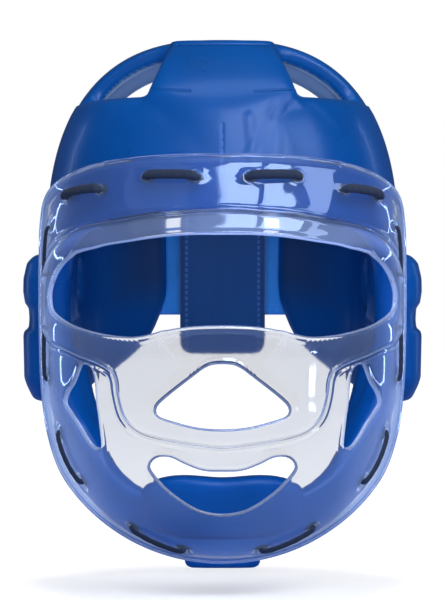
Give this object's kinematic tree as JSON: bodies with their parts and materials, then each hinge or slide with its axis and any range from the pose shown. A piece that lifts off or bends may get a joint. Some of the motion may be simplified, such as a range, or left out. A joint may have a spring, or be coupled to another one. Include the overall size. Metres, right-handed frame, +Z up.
{
  "type": "taekwondo headgear with face shield",
  "caption": "Dipped foam head guard with ear pads, open crown, laced clear face shield with eye window and breathing holes, chin pad, rear flap and elastic band.",
  "frame": {"origin": "inside of the crown where the top of the head sits, over the middle of the head", "axes": "+Z up the head, -Y the way the face looks, X across the head; symmetric about X"},
  "size_m": [0.228, 0.2543, 0.2895],
  "materials": {
    "foam": "smooth glossy dipped skin on closed-cell foam",
    "padding": "matt padded cloth",
    "elastic": "ribbed woven elastic",
    "shield": "clear moulded plastic",
    "lace": "braided cord"
  },
  "bodies": {
    "root": {"foam_shell": "foam", "chin_pad": "foam", "ear_guard_right": "foam", "ear_guard_left": "foam", "back_flap": "padding", "elastic_band": "elastic", "face_shield": "shield", "lace_top_inner_right": "lace", "lace_top_outer_right": "lace", "lace_upper_side_right": "lace", "lace_lower_side_right": "lace", "lace_jaw_right": "lace", "lace_chin_right": "lace", "lace_top_inner_left": "lace", "lace_top_outer_left": "lace", "lace_upper_side_left": "lace", "lace_lower_side_left": "lace", "lace_jaw_left": "lace", "lace_chin_left": "lace"}
  },
  "joints": []
}
